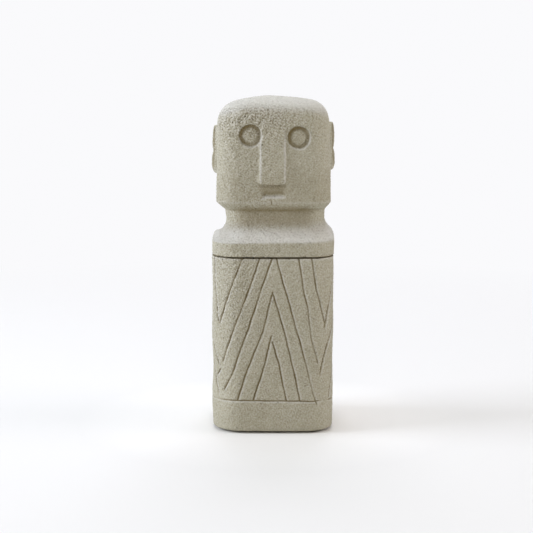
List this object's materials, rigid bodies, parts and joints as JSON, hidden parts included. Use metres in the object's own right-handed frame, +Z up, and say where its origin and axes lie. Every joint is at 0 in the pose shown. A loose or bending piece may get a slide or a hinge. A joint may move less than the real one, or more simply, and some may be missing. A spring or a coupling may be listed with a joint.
{
  "type": "lidded stone tiki figure",
  "caption": "Standing stone figure: squared head with ring eyes, long nose and small ears on a square block body cut with nested chevrons; the head and shoulders lift off a hollow body.",
  "frame": {"origin": "on the table under the middle of the figure, at the underside of the felt pads", "axes": "+Z up through the crown, -Y the way the face looks, +X to the right as seen from the front"},
  "size_m": [0.056, 0.055, 0.15],
  "materials": {
    "stone": "matte",
    "felt": "matte"
  },
  "bodies": {
    "body": {"body_block": "stone", "felt_pad_front_left": "felt", "felt_pad_front_right": "felt", "felt_pad_back_left": "felt", "felt_pad_back_right": "felt"},
    "lid": {"head_lid": "stone"}
  },
  "joints": [
    {"name": "lid_lift", "type": "slide", "parent": "body", "child": "lid", "axis": [0, 0, 1], "range_m": [0, 0.06]}
  ]
}
